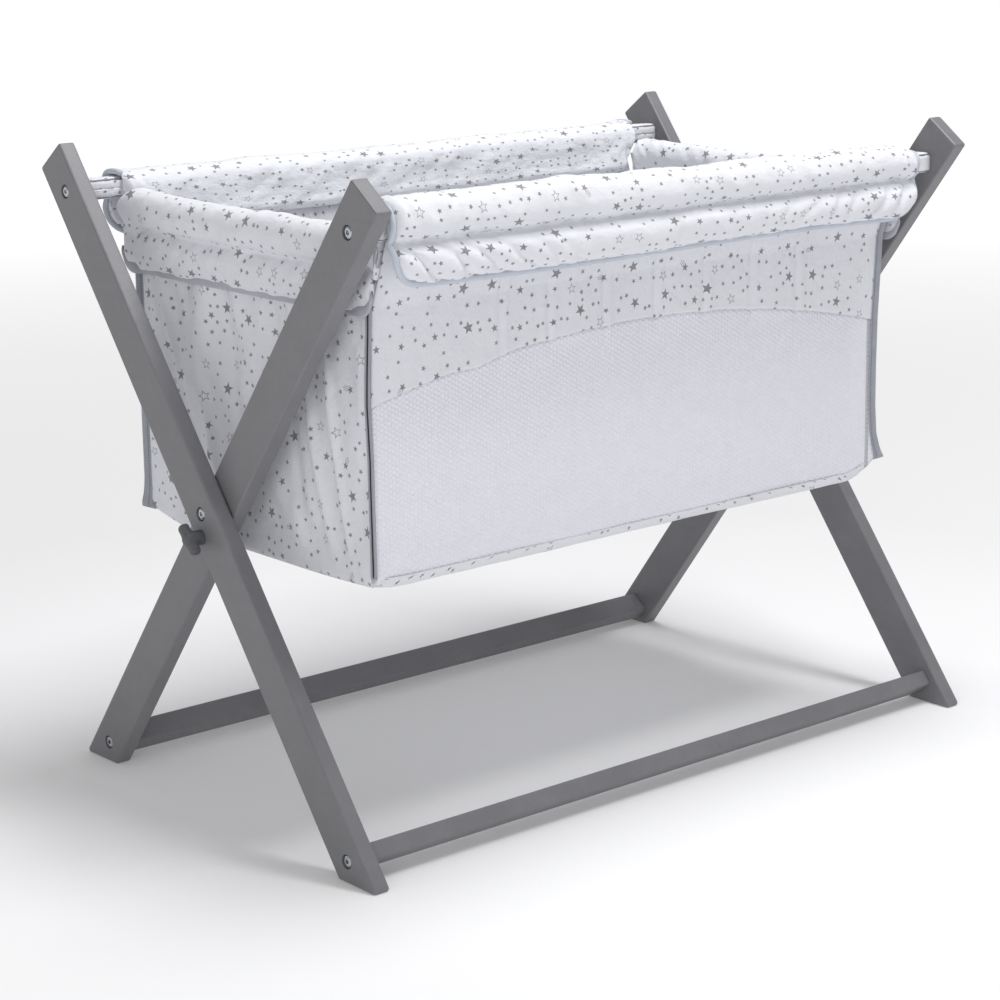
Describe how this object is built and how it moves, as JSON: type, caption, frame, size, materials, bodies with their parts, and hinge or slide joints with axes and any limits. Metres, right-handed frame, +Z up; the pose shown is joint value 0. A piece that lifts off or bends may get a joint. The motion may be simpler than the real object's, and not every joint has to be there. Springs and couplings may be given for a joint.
{
  "type": "folding crib",
  "caption": "Folding crib: a fabric cradle with mesh sides hung between two crossed timber frames that pivot and lock with wing knobs.",
  "frame": {"origin": "floor level under the middle of the crib", "axes": "+X along the crib, +Y towards the back, +Z up; the front is -Y"},
  "size_m": [0.9886, 0.6006, 0.7438],
  "materials": {
    "painted_timber": "satin grey paint",
    "zinc": "bright zinc plate",
    "brass": "plain",
    "nylon": "matt",
    "knob_plastic": "fine moulded texture",
    "star_fabric": "white polycotton printed with grey stars",
    "mesh_fabric": "white hexagonal mesh",
    "piping": "blue-grey twill binding",
    "hardboard": "smooth hardboard",
    "ticking": "white woven mattress cover"
  },
  "bodies": {
    "outer_frame": {"outer_leg_left": "painted_timber", "outer_leg_right": "painted_timber", "back_rail": "painted_timber", "front_stretcher": "painted_timber", "back_rail_bolt_left": "zinc", "back_rail_bolt_right": "zinc", "back_rail_insert_left": "brass", "back_rail_insert_right": "brass", "front_stretcher_bolt_left": "zinc", "front_stretcher_bolt_right": "zinc", "front_stretcher_insert_left": "brass", "front_stretcher_insert_right": "brass", "pivot_bolt_left": "zinc", "pivot_bolt_right": "zinc", "pivot_nut_left": "zinc", "pivot_nut_right": "zinc", "lock_bolt_left": "zinc", "lock_bolt_right": "zinc", "pivot_spacer_left": "nylon", "pivot_spacer_right": "nylon", "back_cover": "star_fabric", "back_rail_sleeve": "star_fabric", "back_upper_panel": "star_fabric", "floor_panel": "star_fabric", "end_panel_left": "star_fabric", "end_panel_right": "star_fabric", "end_cover_left": "star_fabric", "end_cover_right": "star_fabric", "back_mesh_panel": "mesh_fabric", "back_seam_left": "piping", "back_seam_right": "piping"},
    "inner_frame": {"inner_leg_left": "painted_timber", "inner_leg_right": "painted_timber", "front_rail": "painted_timber", "back_stretcher": "painted_timber", "front_rail_sleeve": "star_fabric", "front_rail_bolt_left": "zinc", "front_rail_bolt_right": "zinc", "front_rail_insert_left": "brass", "front_rail_insert_right": "brass", "back_stretcher_bolt_left": "zinc", "back_stretcher_bolt_right": "zinc", "back_stretcher_insert_left": "brass", "back_stretcher_insert_right": "brass"},
    "front_drape": {"front_cover": "star_fabric", "front_upper_panel": "star_fabric", "front_mesh_panel": "mesh_fabric", "front_seam_left": "piping", "front_seam_right": "piping"},
    "base_board": {"base_board": "hardboard"},
    "mattress": {"mattress": "ticking"},
    "left_washer": {"knob_washer_left": "zinc"},
    "left_knob": {"knob_left": "knob_plastic"},
    "right_washer": {"knob_washer_right": "zinc"},
    "right_knob": {"knob_right": "knob_plastic"}
  },
  "joints": [
    {"name": "fold", "type": "hinge", "parent": "outer_frame", "child": "inner_frame", "pos_m": [0, 0, 0.357], "axis": [-1, 0, 0], "range_deg": [0, 66], "deforming": ["front_cover", "front_upper_panel", "front_mesh_panel", "front_seam_left", "front_seam_right", "back_cover", "back_upper_panel", "back_mesh_panel", "back_seam_left", "back_seam_right", "end_panel_left", "end_panel_right", "end_cover_left", "end_cover_right", "floor_panel", "base_board", "mattress"]},
    {"name": "drape_hang", "type": "hinge", "parent": "inner_frame", "child": "front_drape", "pos_m": [0, -0.25096, 0.69003], "axis": [-1, 0, 0], "range_deg": [-66, 0]},
    {"name": "board_lift", "type": "slide", "parent": "outer_frame", "child": "base_board", "axis": [0, 0, 1], "range_m": [0, 0.46]},
    {"name": "mattress_lift", "type": "slide", "parent": "base_board", "child": "mattress", "axis": [0, 0, 1], "range_m": [0, 0.46]},
    {"name": "left_knob_travel", "type": "slide", "parent": "outer_frame", "child": "left_washer", "axis": [-1, 0, 0], "range_m": [0, 0.0025]},
    {"name": "left_knob_turn", "type": "hinge", "parent": "left_washer", "child": "left_knob", "pos_m": [-0.47, 0, 0.331], "axis": [-1, 0, 0], "range_deg": [0, 720]},
    {"name": "right_knob_travel", "type": "slide", "parent": "outer_frame", "child": "right_washer", "axis": [1, 0, 0], "range_m": [0, 0.0025]},
    {"name": "right_knob_turn", "type": "hinge", "parent": "right_washer", "child": "right_knob", "pos_m": [0.47, 0, 0.331], "axis": [1, 0, 0], "range_deg": [0, 720]}
  ],
  "couplings": [
    {"joint": "drape_hang", "follows": "fold", "ratio": -1},
    {"joint": "left_knob_travel", "follows": "left_knob_turn", "m_per_rad": 0.00019894},
    {"joint": "right_knob_travel", "follows": "right_knob_turn", "m_per_rad": 0.00019894}
  ]
}
